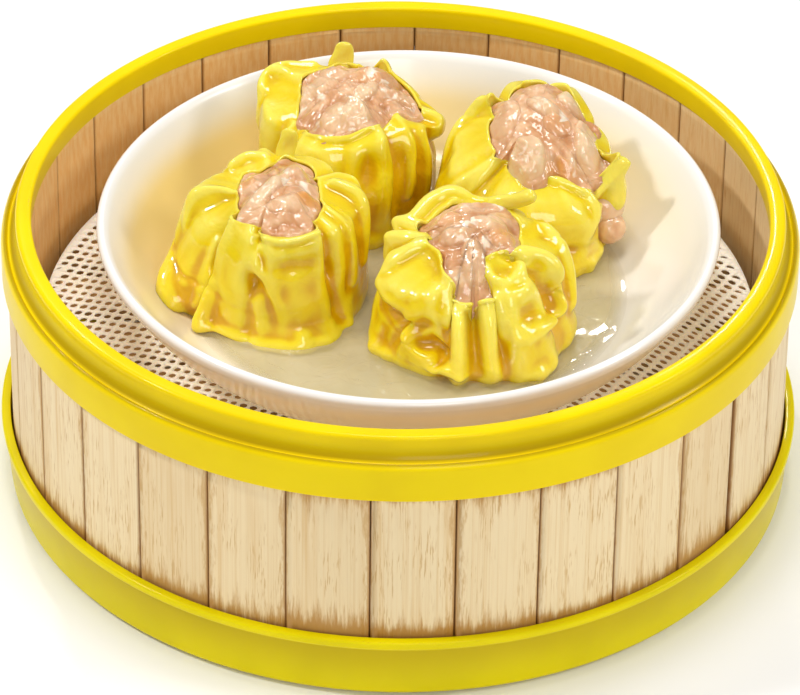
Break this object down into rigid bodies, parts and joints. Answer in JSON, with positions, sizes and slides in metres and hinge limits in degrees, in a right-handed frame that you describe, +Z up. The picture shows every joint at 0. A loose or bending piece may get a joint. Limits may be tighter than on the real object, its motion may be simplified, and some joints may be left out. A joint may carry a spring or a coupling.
{
  "type": "siu mai dumplings in a steamer basket",
  "caption": "Open-topped pleated dumplings with minced filling on a shallow white plate, in a round bamboo steamer basket with yellow plastic rims and a perforated mat.",
  "frame": {"origin": "on the basket's upright axis, in the plane of the foot ring it stands on", "axes": "+Z up, -Y towards the front, +X to the right seen from the front"},
  "size_m": [0.183, 0.183, 0.077],
  "materials": {
    "rim_plastic": "gloss",
    "bamboo_wall": "bare",
    "bamboo_floor": "bare",
    "mat": "matte",
    "plate": "gloss",
    "wrapper": "moist",
    "filling": "moist"
  },
  "bodies": {
    "root": {"base_band": "rim_plastic", "collar": "rim_plastic", "filling_back_left": "filling", "filling_back_right": "filling", "filling_front_left": "filling", "filling_front_right": "filling", "floor_rail_1": "bamboo_floor", "floor_rail_2": "bamboo_floor", "floor_strip_1": "bamboo_floor", "floor_strip_2": "bamboo_floor", "floor_strip_3": "bamboo_floor", "floor_strip_4": "bamboo_floor", "floor_strip_5": "bamboo_floor", "floor_strip_6": "bamboo_floor", "floor_strip_7": "bamboo_floor", "floor_strip_8": "bamboo_floor", "mat": "mat", "plate": "plate", "slat_01": "bamboo_wall", "slat_02": "bamboo_wall", "slat_03": "bamboo_wall", "slat_04": "bamboo_wall", "slat_05": "bamboo_wall", "slat_06": "bamboo_wall", "slat_07": "bamboo_wall", "slat_08": "bamboo_wall", "slat_09": "bamboo_wall", "slat_10": "bamboo_wall", "slat_11": "bamboo_wall", "slat_12": "bamboo_wall", "slat_13": "bamboo_wall", "slat_14": "bamboo_wall", "slat_15": "bamboo_wall", "slat_16": "bamboo_wall", "slat_17": "bamboo_wall", "slat_18": "bamboo_wall", "slat_19": "bamboo_wall", "slat_20": "bamboo_wall", "slat_21": "bamboo_wall", "slat_22": "bamboo_wall", "slat_23": "bamboo_wall", "slat_24": "bamboo_wall", "slat_25": "bamboo_wall", "slat_26": "bamboo_wall", "slat_27": "bamboo_wall", "slat_28": "bamboo_wall", "slat_29": "bamboo_wall", "slat_30": "bamboo_wall", "wrapper_back_left": "wrapper", "wrapper_back_right": "wrapper", "wrapper_front_left": "wrapper", "wrapper_front_right": "wrapper"}
  },
  "joints": []
}
